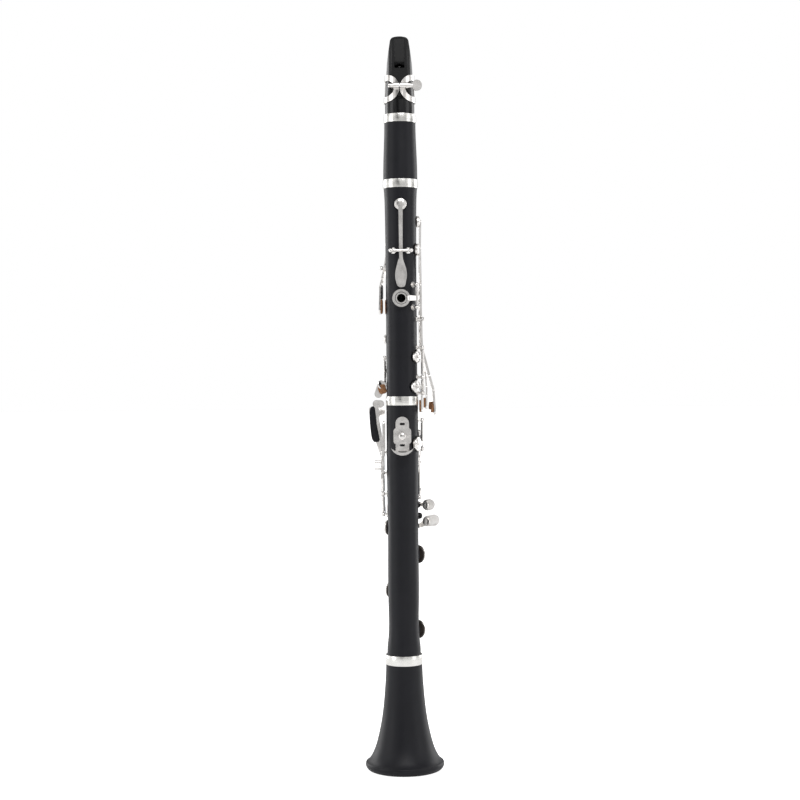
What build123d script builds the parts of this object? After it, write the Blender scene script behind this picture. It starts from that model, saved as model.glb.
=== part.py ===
from build123d import *
import os
from math import cos, radians, sin, sqrt

# Soprano clarinet in B flat, Boehm system, 17 keys and 6 rings.
# Millimetres. The bore runs along +Z from the bell's rim (z = 0) to the mouthpiece tip.
# Places around the bore are given by phi: 0 is the thumb side (-Y), 90 is +X, 180 is the front (+Y).

# ---- heights of the sections ----
BELL_TOP = 104.3
LOWER_TOP = 338.9
UPPER_TOP = 528.0
BARREL_TOP = 594.9
TIP = 665.0
BELL_TENON = 22.0
MIDDLE_TENON = 19.4
TOP_TENON = 17.0

# ---- radii of the sections ----
BORE_R = 7.4
BORE_END_R = 10.6
BORE_FLARE_Z = 200.0
BODY_R = 14.1
BELL_RIM_R = 35.8
BELL_RING_R = 17.0
BARREL_RING_R = 15.9
TOP_SOCKET_R = 11.05
MIDDLE_SOCKET_R = 11.5
BELL_SOCKET_R = 13.0
CORK_GAP = 0.05
CORK_THICK = 0.75
RING_H = 8.0

# ---- hinges, posts and pads ----
ROD_R = 0.8
TUBE_R = 1.45
TUBE_BORE_R = 0.86
BALL_R = 2.0
BALL_GAP = 2.3
STEM_R = 1.15
FOOT_R = 2.7
POST_DEPTH = 2.3
HINGE_R = 17.7
SEAT_R = 13.6
PAD_PLAY = 0.06
PLATE_T = 1.5
CHIMNEY_WALL = 1.1

THUMB_HOLE_Z = 427.6
UPPER_HOLES = {"first": 421.0, "second": 404.0, "third": 377.0}
LOWER_HOLES = {"first": 303.0, "second": 278.0, "third": 253.0}
RING_OUT_R = 8.0
RING_IN_R = 6.3
RING_LEVEL = 16.7
CHIMNEY_TOP = 15.9


def at(phi, r, z):
    """A point at angle phi and distance r from the bore's axis."""
    return Vector(r * sin(radians(phi)), -r * cos(radians(phi)), z)


def outward(phi):
    return Vector(sin(radians(phi)), -cos(radians(phi)), 0)


def tangent(phi):
    return Vector(cos(radians(phi)), sin(radians(phi)), 0)


def facing(phi, r, z):
    """The plane square to the bore's radius at phi, with its own X along +Z."""
    return Plane(origin=at(phi, r, z), x_dir=(0, 0, 1), z_dir=outward(phi))


def rod(start, end, radius, mode=Mode.ADD):
    """A round rod between two points, in the part that is being built."""
    along = end - start
    with BuildSketch(Plane(origin=start, z_dir=along)) as section:
        Circle(radius)
    extrude(section.sketch, amount=along.length, mode=mode)


def plate(points, radii, thick=PLATE_T, normal=None):
    """A flat bar with round ends through the points, with a half width at each of them."""
    for index in range(len(points) - 1):
        step_in = 0.9 if index % 2 else 1.0
        start, end = points[index], points[index + 1]
        r_start, r_end = radii[index] * step_in, radii[index + 1] * step_in
        along = end - start
        middle = (start + end) * 0.5
        face = normal or Vector(middle.X, middle.Y, 0).normalized()
        unit = along.normalized()
        face = (face - unit * face.dot(unit)).normalized()
        length = along.length
        lean = (r_start - r_end) / length
        side = sqrt(1 - lean * lean)
        near = (r_start * lean, r_start * side)
        far = (length + r_end * lean, r_end * side)
        with BuildSketch(Plane(origin=start, x_dir=along, z_dir=face)) as outline:
            with BuildLine():
                Line(near, far)
                ThreePointArc(far, (length + r_end, 0), (far[0], -far[1]))
                Line((far[0], -far[1]), (near[0], -near[1]))
                ThreePointArc((near[0], -near[1]), (-r_start, 0), near)
            make_face()
        extrude(outline.sketch, amount=thick * step_in / 2, both=True)


def cup(phi, z, radius, seat=SEAT_R):
    """A round-edged pad cup, open towards the body, over a tone hole whose seat is at radius seat."""
    pad_r = radius - 0.45
    middle = at(phi, seat, z)
    lateral = Vector(0, 0, 1)
    with BuildSketch(Plane(origin=middle, x_dir=lateral, z_dir=lateral.cross(outward(phi)))) as half:
        with BuildLine():
            Polyline((0, 2.2), (pad_r, 2.2), (pad_r, 0.9), (radius, 0.9), (radius, 2.3))
            ThreePointArc((radius, 2.3), (radius - 0.264, 2.936), (radius - 0.9, 3.2))
            Polyline((radius - 0.9, 3.2), (0, 3.2), (0, 2.2))
        make_face()
    revolve(half.sketch, axis=Axis(middle, outward(phi)))


def pad(phi, z, radius, seat=SEAT_R):
    """The pad that a cup holds, resting on the rim of its tone hole."""
    pad_r = radius - 0.45
    rod(at(phi, seat + PAD_PLAY, z), at(phi, seat + 2.2, z), pad_r)


def finger_ring(phi, z, r_out=RING_OUT_R, r_in=RING_IN_R, level=RING_LEVEL, thick=1.4):
    with BuildSketch(facing(phi, level, z)) as ring:
        Circle(r_out)
        Circle(r_in, mode=Mode.SUBTRACT)
    extrude(ring.sketch, amount=thick)


def tone_hole(phi, z, cup_r, hole_r, seat=SEAT_R, floor_drop=1.3):
    """A padded tone hole: a shallow crater around a flat raised rim, bored through the wall."""
    rod(at(phi, seat - floor_drop, z), at(phi, seat + 6, z), cup_r + 0.7, Mode.SUBTRACT)
    rod(at(phi, 9.4, z), at(phi, seat, z), hole_r + CHIMNEY_WALL)
    rod(at(phi, 0, z), at(phi, seat + 6, z), hole_r, Mode.SUBTRACT)


def finger_hole(phi, z, hole_r, rim_r, top=CHIMNEY_TOP):
    """A finger hole with a raised chimney."""
    rod(at(phi, 9.4, z), at(phi, top, z), rim_r)
    rod(at(phi, 0, z), at(phi, top + 3, z), hole_r, Mode.SUBTRACT)


class Hinge:
    """A steel rod held by round-headed posts: along the bore, or across it at height z."""

    def __init__(self, phi, r, post_z=None, z=None, half=None, body_r=BODY_R):
        self.body_r = body_r
        self.phi = phi
        self.r = r
        if post_z:
            self.axis = Vector(0, 0, 1)
            self.balls = [at(phi, r, height) for height in post_z]
            self.middle = at(phi, r, 0)
        else:
            self.axis = tangent(phi)
            self.middle = at(phi, r, z)
            self.balls = [self.middle - self.axis * half, self.middle + self.axis * half]

    def point(self, along):
        """The point on the hinge's line at a height, or at a distance across from its middle."""
        return self.middle + self.axis * along

    def line(self):
        return Axis(self.middle, self.axis)

    def tube(self, start, end):
        rod(self.point(start), self.point(end), TUBE_R)

    def bore(self, start, end):
        rod(self.point(start - 0.5), self.point(end + 0.5), TUBE_BORE_R, Mode.SUBTRACT)

    def posts(self):
        return [post(ball, self.axis, self.body_r) for ball in self.balls]

    def rod_part(self):
        with BuildPart() as steel:
            rod(self.balls[0] - self.axis * 1.6, self.balls[-1] + self.axis * 1.6, ROD_R)
        return steel.part


def post(ball, axis, body_r):
    """A turned post: a stem set into the body, a round foot and a drilled ball head."""
    out = Vector(ball.X, ball.Y, 0).normalized()
    base = out * (body_r - POST_DEPTH) + Vector(0, 0, ball.Z)
    foot = out * (body_r - 0.7) + Vector(0, 0, ball.Z)
    with BuildPart() as turned:
        rod(base, ball, STEM_R)
        rod(foot, foot + out * 1.2, FOOT_R)
        with Locations(Plane(origin=ball, z_dir=axis)):
            Sphere(BALL_R)
        rod(ball - axis * 4, ball + axis * 4, ROD_R, Mode.SUBTRACT)
    return turned.part


# ---- hinges of the upper joint ----
REGISTER = Hinge(0, 17.4, z=470.6, half=9.0, body_r=BODY_R)
THUMB = Hinge(47, 19.3, post_z=(419.4, 440.0))
THROAT_A = Hinge(186, HINGE_R, z=466.0, half=6.0)
THROAT_G = Hinge(236, HINGE_R, z=456.0, half=6.0)
TRILLS = Hinge(103, 17.9, z=409.0, half=7.0)
SIDE = Hinge(78, 19.3, post_z=(341.8, 356.2, 383.0))
UPPER_RINGS = Hinge(145, HINGE_R, post_z=(346.0, 441.5))
UPPER_SLIVER = Hinge(217, HINGE_R, post_z=(382.5, 399.5))
C_SHARP = Hinge(243, HINGE_R, post_z=(343.5, 374.0))
UPPER_HINGES = [REGISTER, THUMB, THROAT_A, THROAT_G, TRILLS, SIDE, UPPER_RINGS, UPPER_SLIVER, C_SHARP]

# ---- hinges of the lower joint ----
LOWER_RINGS = Hinge(125, 18.6, post_z=(246.0, 306.0))
LOWER_SLIVER = Hinge(93, 18.2, post_z=(290.8, 317.0))
LINE_F = Hinge(157, HINGE_R, post_z=(183.7, 233.3))
LINE_E = Hinge(177, HINGE_R, post_z=(116.7, 228.3))
LINE_F_SHARP = Hinge(197, HINGE_R, post_z=(154.7, 243.0))
LINE_A_FLAT = Hinge(217, HINGE_R, post_z=(211.7, 245.3))
LEFT_LEVERS = Hinge(262, 18.0, post_z=(231.5, 250.0, 269.0, 288.0))
LOWER_HINGES = [LOWER_RINGS, LOWER_SLIVER, LINE_F, LINE_E, LINE_F_SHARP, LINE_A_FLAT, LEFT_LEVERS]

# ---- padded tone holes: phi, z, cup radius, hole radius ----
REGISTER_PAD = (0, 512.5, 5.4, 2.0)
THROAT_A_PAD = (186, 489.0, 5.0, 2.6)
THROAT_G_PAD = (222, 478.0, 4.8, 2.6)
SIDE_4_PAD = (98, 498.0, 5.2, 2.8)
SIDE_3_PAD = (78, 472.0, 5.6, 3.0)
SIDE_2_PAD = (62, 374.6, 5.4, 3.2)
SIDE_1_PAD = (55, 347.6, 5.6, 3.3)
UPPER_RING_PAD = (184, 433.5, 3.9, 2.0)
UPPER_SLIVER_PAD = (240, 391.0, 4.7, 2.6)
C_SHARP_PAD = (218, 362.0, 5.2, 2.8)
UPPER_PADS = [REGISTER_PAD, THROAT_A_PAD, THROAT_G_PAD, SIDE_4_PAD, SIDE_3_PAD, SIDE_2_PAD,
              SIDE_1_PAD, UPPER_RING_PAD, UPPER_SLIVER_PAD, C_SHARP_PAD]
LOWER_RING_PAD = (184, 290.5, 3.9, 2.0)
LOWER_SLIVER_PAD = (62, 295.7, 6.3, 3.6)
A_FLAT_PAD = (243, 219.0, 6.7, 4.2)
F_PAD = (124, 194.0, 8.0, 5.6)
F_SHARP_PAD = (229, 161.5, 7.2, 4.8)
E_PAD = (130, 125.0, 8.35, 5.8)
LOWER_PADS = [LOWER_RING_PAD, LOWER_SLIVER_PAD, A_FLAT_PAD, F_PAD, F_SHARP_PAD, E_PAD]
OPEN_ANGLE = 11.0
RING_PAD_LIFT = 1.3


def export(piece, name):
    piece.part.label = name
    export_step(piece.part, "parts/" + name + ".step")


def turned_ring(inner_r, outer_r, bottom, top):
    """A metal ring with a slightly crowned outside, around the bore's axis."""
    with BuildPart() as ring:
        with BuildSketch(Plane.XZ):
            with BuildLine():
                Polyline((outer_r - 0.3, top), (inner_r, top), (inner_r, bottom), (outer_r - 0.3, bottom))
                ThreePointArc((outer_r - 0.3, bottom), (outer_r, (bottom + top) / 2), (outer_r - 0.3, top))
            make_face()
        revolve(axis=Axis.Z)
    return ring


def sleeve(inner_r, outer_r, bottom, top):
    with BuildPart() as tube:
        with BuildSketch(Plane.XY.offset(bottom)):
            Circle(outer_r)
            Circle(inner_r, mode=Mode.SUBTRACT)
        extrude(amount=top - bottom)
    return tube


os.makedirs("parts", exist_ok=True)

# ---- bell ----
BELL_NECK_R = 15.6
BELL_BORE_R = 10.7
with BuildPart() as bell:
    with BuildSketch(Plane.XZ):
        with BuildLine():
            Line((BELL_BORE_R, 82.3), (BELL_SOCKET_R, 82.3))
            Line((BELL_SOCKET_R, 82.3), (BELL_SOCKET_R, BELL_TOP))
            Polyline((BELL_SOCKET_R, BELL_TOP), (BELL_NECK_R, BELL_TOP), (BELL_NECK_R, 95.5), (16.6, 95.5))
            Spline((16.6, 95.5), (17.8, 72), (20.0, 50.3), (24.3, 28.5), (29.1, 14.5), (35.2, 7.0),
                   tangents=((0, -1), (0.9, -0.45)))
            ThreePointArc((35.2, 7.0), (BELL_RIM_R, 4.4), (34.4, 1.6))
            ThreePointArc((34.4, 1.6), (33.2, 0.4), (31.6, 0))
            Line((31.6, 0), (30.6, 0))
            Spline((30.6, 0), (25.2, 12), (17.6, 33), (13.4, 56), (BELL_BORE_R, 82.3),
                   tangents=((-0.3, 1), (-0.05, 1)))
        make_face()
    revolve(axis=Axis.Z)
export(bell, "bell")
bell_ring = turned_ring(BELL_NECK_R, BELL_RING_R, 95.5, BELL_TOP)
export(bell_ring, "bell_ring")

# ---- lower joint ----
with BuildPart() as lower_posts:
    add([one for hinge in LOWER_HINGES for one in hinge.posts()])
export(lower_posts, "lower_posts")

with BuildPart() as lower_hinge_rods:
    add([hinge.rod_part() for hinge in LOWER_HINGES])
export(lower_hinge_rods, "lower_hinge_rods")

LOWER_RING_SEAT_R = 13.2
LOWER_TENON_R = BELL_SOCKET_R - CORK_GAP - CORK_THICK
MIDDLE_SOCKET_Z = LOWER_TOP - MIDDLE_TENON - 0.4
with BuildPart() as lower_joint:
    with BuildSketch(Plane.XZ):
        with BuildLine():
            Polyline((BORE_END_R, BELL_TOP - BELL_TENON + 0.2), (LOWER_TENON_R, BELL_TOP - BELL_TENON + 0.2),
                     (LOWER_TENON_R, BELL_TOP), (15.3, BELL_TOP), (15.3, 108.0))
            Spline((15.3, 108.0), (14.5, 117), (14.0, 152), (13.9, 210), (14.3, 262), (14.45, 330.9),
                   tangents=((0, 1), (0, 1)))
            Polyline((14.45, 330.9), (LOWER_RING_SEAT_R, 330.9), (LOWER_RING_SEAT_R, LOWER_TOP),
                     (MIDDLE_SOCKET_R, LOWER_TOP), (MIDDLE_SOCKET_R, MIDDLE_SOCKET_Z), (BORE_R, MIDDLE_SOCKET_Z),
                     (BORE_R, BORE_FLARE_Z), (BORE_END_R, BELL_TOP - BELL_TENON + 0.2))
        make_face()
    revolve(axis=Axis.Z)
    for phi, z, cup_r, hole_r in LOWER_PADS:
        tone_hole(phi, z, cup_r, hole_r)
    for z in LOWER_HOLES.values():
        finger_hole(180, z, 3.6, 5.6)
    add(lower_posts.part, mode=Mode.SUBTRACT)
export(lower_joint, "lower_joint")

lower_joint_ring = turned_ring(LOWER_RING_SEAT_R, 14.75, LOWER_TOP - RING_H, LOWER_TOP)
export(lower_joint_ring, "lower_joint_ring")
lower_joint_cork = sleeve(LOWER_TENON_R, LOWER_TENON_R + CORK_THICK, 84.0, 102.5)
export(lower_joint_cork, "lower_joint_cork")

# ---- upper joint ----
with BuildPart() as upper_posts:
    add([one for hinge in UPPER_HINGES for one in hinge.posts()])
export(upper_posts, "upper_posts")

with BuildPart() as upper_hinge_rods:
    add([hinge.rod_part() for hinge in UPPER_HINGES])
export(upper_hinge_rods, "upper_hinge_rods")

BUSH_R = 5.2
BUSH_BORE_R = 3.9
BUSH_TOP = 16.4
with BuildPart() as thumb_bushing:
    rod(at(0, 10.0, THUMB_HOLE_Z), at(0, BUSH_TOP, THUMB_HOLE_Z), BUSH_R)
    rod(at(0, 9.0, THUMB_HOLE_Z), at(0, BUSH_TOP + 1, THUMB_HOLE_Z), BUSH_BORE_R, Mode.SUBTRACT)
export(thumb_bushing, "thumb_bushing")

UPPER_TENON_R = TOP_SOCKET_R - CORK_GAP - CORK_THICK
MIDDLE_TENON_R = MIDDLE_SOCKET_R - CORK_GAP - CORK_THICK
with BuildPart() as upper_joint:
    with BuildSketch(Plane.XZ):
        with BuildLine():
            Polyline((BORE_R, LOWER_TOP - MIDDLE_TENON), (MIDDLE_TENON_R, LOWER_TOP - MIDDLE_TENON),
                     (MIDDLE_TENON_R, LOWER_TOP), (14.0, LOWER_TOP), (14.0, 345.0))
            Spline((14.0, 345.0), (BODY_R, 480), (14.35, 508), (15.2, UPPER_TOP), tangents=((0, 1), (0.1, 1)))
            Polyline((15.2, UPPER_TOP), (UPPER_TENON_R, UPPER_TOP), (UPPER_TENON_R, UPPER_TOP + TOP_TENON - 0.3),
                     (BORE_R, UPPER_TOP + TOP_TENON - 0.3), (BORE_R, LOWER_TOP - MIDDLE_TENON))
        make_face()
    revolve(axis=Axis.Z)
    for phi, z, cup_r, hole_r in UPPER_PADS:
        tone_hole(phi, z, cup_r, hole_r)
    for z in UPPER_HOLES.values():
        finger_hole(180, z, 3.4, 5.4)
    rod(at(0, 0, THUMB_HOLE_Z), at(0, 20, THUMB_HOLE_Z), BUSH_BORE_R, Mode.SUBTRACT)
    rod(at(0, 10.0, THUMB_HOLE_Z), at(0, 20, THUMB_HOLE_Z), BUSH_R, Mode.SUBTRACT)
    add(upper_posts.part, mode=Mode.SUBTRACT)
export(upper_joint, "upper_joint")

with BuildPart() as upper_joint_corks:
    add(sleeve(UPPER_TENON_R, UPPER_TENON_R + CORK_THICK, UPPER_TOP + 2, UPPER_TOP + TOP_TENON - 2).part)
    add(sleeve(MIDDLE_TENON_R, MIDDLE_TENON_R + CORK_THICK, LOWER_TOP - MIDDLE_TENON + 2, LOWER_TOP - 2).part)
export(upper_joint_corks, "upper_joint_corks")

# ---- barrel ----
BARREL_RING_SEAT = 14.2
with BuildPart() as barrel:
    with BuildSketch(Plane.XZ):
        with BuildLine():
            Polyline((BARREL_RING_SEAT, 535.7), (BARREL_RING_SEAT, UPPER_TOP), (TOP_SOCKET_R, UPPER_TOP),
                     (TOP_SOCKET_R, UPPER_TOP + TOP_TENON), (BORE_R, UPPER_TOP + TOP_TENON),
                     (BORE_R, BARREL_TOP - TOP_TENON - 0.5), (TOP_SOCKET_R, BARREL_TOP - TOP_TENON - 0.5),
                     (TOP_SOCKET_R, BARREL_TOP), (13.0, BARREL_TOP), (13.0, 587.5), (14.2, 587.5))
            Spline((14.2, 587.5), (14.5, 572), (15.3, 551), (15.5, 535.7), tangents=((0, -1), (0, -1)))
            Line((15.5, 535.7), (BARREL_RING_SEAT, 535.7))
        make_face()
    revolve(axis=Axis.Z)
export(barrel, "barrel")

with BuildPart() as barrel_rings:
    add(turned_ring(BARREL_RING_SEAT, BARREL_RING_R, UPPER_TOP, 535.7).part)
    add(turned_ring(13.0, 14.75, 587.5, BARREL_TOP).part)
export(barrel_rings, "barrel_rings")

# ---- mouthpiece ----
TABLE_Y = -9.4
WINDOW_Z = 636.4
MOUTH_TENON_R = TOP_SOCKET_R - CORK_GAP - CORK_THICK
with BuildPart() as mouthpiece:
    with BuildSketch(Plane.XZ):
        with BuildLine():
            Polyline((BORE_R, BARREL_TOP - TOP_TENON), (MOUTH_TENON_R, BARREL_TOP - TOP_TENON),
                     (MOUTH_TENON_R, BARREL_TOP), (13.1, BARREL_TOP))
            Spline((13.1, BARREL_TOP), (13.3, 603), (12.3, 622), (11.7, 640), (11.5, TIP),
                   tangents=((0.1, 1), (0, 1)))
            Polyline((11.5, TIP), (0, TIP), (0, 642), (5.0, 640), (BORE_R, 616),
                     (BORE_R, BARREL_TOP - TOP_TENON))
        make_face()
    revolve(axis=Axis.Z)
    with BuildSketch(Plane.XZ.offset(-20)):
        with BuildLine():
            Polyline((-8.6, 660), (-9.9, 652), (-11.2, 642), (-12.3, 625), (-14, 600), (-14, 570), (14, 570),
                     (14, 600), (12.3, 625), (11.2, 642), (9.9, 652), (8.6, 660))
            ThreePointArc((8.6, 660), (7.5, 662.9), (5.2, 664.3))
            ThreePointArc((5.2, 664.3), (0, TIP), (-5.2, 664.3))
            ThreePointArc((-5.2, 664.3), (-7.5, 662.9), (-8.6, 660))
        make_face()
    extrude(amount=40, mode=Mode.INTERSECT)
    with BuildSketch(Plane.YZ.offset(-20)):
        with BuildLine():
            Polyline((-20, 570), (-20, 606), (TABLE_Y - 3.8, 607.5), (TABLE_Y, 611), (TABLE_Y, 650),
                     (TABLE_Y + 0.5, TIP), (TABLE_Y + 1.3, TIP))
            Spline((TABLE_Y + 1.3, TIP), (-2.2, 653), (6.0, 638), (13.4, 621), tangents=((0.45, -1), (0.4, -1)))
            Polyline((13.4, 621), (20, 618), (20, 570), (-20, 570))
        make_face()
    extrude(amount=40, mode=Mode.INTERSECT)
    with BuildSketch(Plane.YZ.offset(-4.6)):
        Polygon((-14, WINDOW_Z), (-14, 663.2), (TABLE_Y + 0.2, 663.2), (-4.8, 652), (1.5, 638.5),
                (1.5, WINDOW_Z), align=None)
    extrude(amount=9.2, mode=Mode.SUBTRACT)
export(mouthpiece, "mouthpiece")
mouthpiece_cork = sleeve(MOUTH_TENON_R, MOUTH_TENON_R + CORK_THICK, BARREL_TOP - TOP_TENON + 2, BARREL_TOP - 2)
export(mouthpiece_cork, "mouthpiece_cork")

# ---- ligature: two bands joined by a pair of curved straps that meet under the screw ----
LIG_MID = 617.8
LIG_HALF = 12.6
LIG_BAND = 5.1
LIG_T = 0.8
SCREW_Z = 619.4
SCREW_Y = -15.6
LUG_R = 2.8
with BuildPart() as ligature:
    with BuildSketch(Plane.XZ):
        Polygon((13.62, 605.2), (12.62, 630.4), (12.62 + LIG_T, 630.4), (13.62 + LIG_T, 605.2), align=None)
    revolve(axis=Axis.Z)
    with BuildSketch(Plane.XZ.offset(-4)) as openings:
        with Locations((-13.4, LIG_MID), (13.4, LIG_MID)):
            Ellipse(13.4 - LIG_BAND, LIG_HALF - LIG_BAND)
    extrude(openings.sketch, amount=20, mode=Mode.SUBTRACT)
    with BuildSketch(Plane.XZ) as straps:
        with Locations((0, LIG_MID)):
            Rectangle(26.8, 2 * LIG_HALF + 2)
        with Locations((-13.4, LIG_MID), (13.4, LIG_MID)):
            Ellipse(13.1, LIG_HALF, mode=Mode.SUBTRACT)
    extrude(straps.sketch, amount=20, mode=Mode.SUBTRACT)
    for side in (-1, 1):
        rod(Vector(side * 0.4, SCREW_Y, SCREW_Z), Vector(side * 5.6, SCREW_Y, SCREW_Z), LUG_R)
        with BuildSketch(Plane.YZ.offset(side * 3.0)) as web:
            with Locations((-14.2, SCREW_Z)):
                Rectangle(2.6, 4.4)
        extrude(web.sketch, amount=2.2, both=True)
    rod(Vector(-6, SCREW_Y, SCREW_Z), Vector(6, SCREW_Y, SCREW_Z), 1.5, Mode.SUBTRACT)
export(ligature, "ligature")

with BuildPart() as ligature_screw:
    with BuildSketch(Plane.XY.offset(SCREW_Z)):
        with BuildLine():
            Polyline((-10.2, SCREW_Y), (-10.2, SCREW_Y + 1.3), (-9.7, SCREW_Y + 1.9), (-6.0, SCREW_Y + 1.9),
                     (-5.9, SCREW_Y + 1.42), (5.9, SCREW_Y + 1.42), (6.0, SCREW_Y + 2.8), (12.0, SCREW_Y + 1.6),
                     (12.0, SCREW_Y), (-10.2, SCREW_Y))
        make_face()
    revolve(axis=Axis((0, SCREW_Y, SCREW_Z), (1, 0, 0)))
    with BuildSketch(Plane.XZ.offset(-SCREW_Y)) as wing:
        with Locations((15.6, SCREW_Z)):
            Ellipse(4.6, 4.9)
    extrude(wing.sketch, amount=1.1, both=True)
export(ligature_screw, "ligature_screw")

# ---- thumb rest: a base fixed to the body, and a slotted plate with the hook that slides on it ----
REST_Z = 303.0
REST_BASE_Y = -15.7
REST_PLATE_Y = -17.1
REST_TRAVEL = 3.5
with BuildPart() as thumb_rest_base:
    with BuildSketch(Plane.XZ.offset(13.0)):
        with Locations((0, REST_Z + 0.2)):
            RectangleRounded(16.0, 14.6, 3.0)
    extrude(amount=-REST_BASE_Y - 13.0)
    with BuildSketch(Plane.XY.offset(290)) as body_section:
        Circle(14.5)
    extrude(body_section.sketch, amount=30, mode=Mode.SUBTRACT)
    rod(Vector(0, -17, REST_Z), Vector(0, -13, REST_Z), 1.3, Mode.SUBTRACT)
export(thumb_rest_base, "thumb_rest_base")

HOOK_Z = 289.4
with BuildPart() as thumb_rest_hook:
    with BuildSketch(Plane.XZ.offset(-REST_BASE_Y + 0.05)):
        with Locations((0, REST_Z + 2.6)):
            SlotCenterToCenter(18.0, 12.2, rotation=90)
        with Locations((0, REST_Z - 9)):
            Rectangle(12.2, 9)
        with Locations((0, REST_Z + 11.2), (0, REST_Z - 8.0)):
            SlotOverall(4.7, 2.1, mode=Mode.SUBTRACT)
        with Locations((0, REST_Z)):
            SlotCenterToCenter(2 * REST_TRAVEL, 3.2, rotation=90, mode=Mode.SUBTRACT)
    extrude(amount=REST_BASE_Y - REST_PLATE_Y)
    with BuildSketch(Plane.XZ.offset(-REST_BASE_Y + 0.05)) as crescent:
        with BuildLine():
            ThreePointArc((-10.2, HOOK_Z + 3.6), (0, HOOK_Z - 3.0), (10.2, HOOK_Z + 3.6))
            ThreePointArc((10.2, HOOK_Z + 3.6), (0, HOOK_Z - 0.6), (-10.2, HOOK_Z + 3.6))
        make_face()
    extrude(crescent.sketch, amount=14)
export(thumb_rest_hook, "thumb_rest_hook")

with BuildPart() as thumb_rest_screw:
    rod(Vector(0, -14.5, REST_Z), Vector(0, REST_PLATE_Y - 0.1, REST_Z), 1.25)
    with BuildSketch(Plane(origin=(0, REST_PLATE_Y - 0.1, REST_Z), z_dir=(0, -1, 0))) as knob:
        Circle(4.1)
        with PolarLocations(4.35, 18):
            Circle(0.45, mode=Mode.SUBTRACT)
    extrude(knob.sketch, amount=2.6)
export(thumb_rest_screw, "thumb_rest_screw")

# ---- keys of the upper joint ----
TOUCH_Y = 17.6
with BuildPart() as register_key:
    REGISTER.tube(-6.5, 6.5)
    plate([REGISTER.point(0), at(0, 17.9, REGISTER_PAD[1])], [1.6, 1.9])
    cup(*REGISTER_PAD[:3])
    with BuildSketch(Plane.XZ.offset(TOUCH_Y)):
        with BuildLine():
            Spline((1.6, 470), (1.9, 463), (3.9, 456.5), (5.3, 448.5), (4.1, 440.8), (0, 437.3),
                   tangents=((0, -1), (-1, 0)))
            Spline((0, 437.3), (-4.1, 440.8), (-5.3, 448.5), (-3.9, 456.5), (-1.9, 463), (-1.6, 470),
                   tangents=((-1, 0), (0, 1)))
            Line((-1.6, 470), (1.6, 470))
        make_face()
    extrude(amount=PLATE_T)
    REGISTER.bore(-6.5, 6.5)
export(register_key, "register_key")

with BuildPart() as thumb_ring_key:
    THUMB.tube(421.8, 437.6)
    finger_ring(0, THUMB_HOLE_Z, 8.0, 5.7, level=17.0, thick=1.6)
    plate([Vector(7.2, -17.8, THUMB_HOLE_Z), THUMB.point(THUMB_HOLE_Z)], [2.4, 2.0])
    THUMB.bore(421.8, 437.6)
export(thumb_ring_key, "thumb_ring_key")

with BuildPart() as a_key:
    THROAT_A.tube(-3.6, 3.6)
    plate([THROAT_A.point(0), at(186, 17.9, THROAT_A_PAD[1])], [1.6, 1.9])
    cup(*THROAT_A_PAD[:3])
    plate([THROAT_A.point(0), at(187, 18.3, 457), at(190, 18.8, 445.5)], [1.8, 3.6, 4.2])
    THROAT_A.bore(-3.6, 3.6)
export(a_key, "a_key")

with BuildPart() as g_sharp_key:
    THROAT_G.tube(-3.6, 3.6)
    plate([THROAT_G.point(0), at(226, 18.0, 466), at(222, 17.9, THROAT_G_PAD[1])], [1.6, 1.6, 1.9])
    cup(*THROAT_G_PAD[:3])
    plate([THROAT_G.point(0), at(246, 18.4, 446), at(256, 18.9, 438), at(262, 19.2, 418)],
          [1.6, 2.2, 3.6, 4.4])
    THROAT_G.bore(-3.6, 3.6)
export(g_sharp_key, "g_sharp_key")

TRILL_STEP = 2.3
with BuildPart() as side_key_3:
    TRILLS.tube(-TRILL_STEP - 2.1, -TRILL_STEP + 2.1)
    plate([TRILLS.point(-TRILL_STEP), at(91, 17.9, 440), at(78, 17.9, SIDE_3_PAD[1])], [1.3, 1.3, 1.9])
    cup(*SIDE_3_PAD[:3])
    plate([TRILLS.point(-TRILL_STEP), at(98, 18.6, 384), at(98, 25.5, 357), at(98, 28.5, 345),
           at(98, 30.0, 325)], [1.3, 1.4, 1.8, 3.4, 3.9], 1.7)
    TRILLS.bore(-TRILL_STEP - 2.1, -TRILL_STEP + 2.1)
export(side_key_3, "side_key_3")

with BuildPart() as side_key_4:
    TRILLS.tube(TRILL_STEP - 2.1, TRILL_STEP + 2.1)
    plate([TRILLS.point(TRILL_STEP), at(110, 17.9, 450), at(98, 17.9, SIDE_4_PAD[1])], [1.3, 1.3, 1.9])
    cup(*SIDE_4_PAD[:3])
    plate([TRILLS.point(TRILL_STEP), at(112, 18.6, 384), at(114, 25.5, 359), at(114, 29.0, 348),
           at(114, 31.0, 328)], [1.3, 1.4, 1.8, 3.4, 3.9], 1.7)
    TRILLS.bore(TRILL_STEP - 2.1, TRILL_STEP + 2.1)
export(side_key_4, "side_key_4")

with BuildPart() as side_key_2:
    SIDE.tube(358.6, 380.6)
    plate([SIDE.point(SIDE_2_PAD[1]), at(70, 18.0, SIDE_2_PAD[1]), at(62, 17.8, SIDE_2_PAD[1])],
          [1.6, 1.7, 1.8])
    cup(*SIDE_2_PAD[:3])
    plate([SIDE.point(364), at(86, 21.4, 361), at(88, 22.4, 347), at(92, 22.4, 340), at(94, 22.2, 330)],
          [1.3, 1.3, 1.4, 3.0, 3.4])
    SIDE.bore(358.6, 380.6)
export(side_key_2, "side_key_2")

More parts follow.
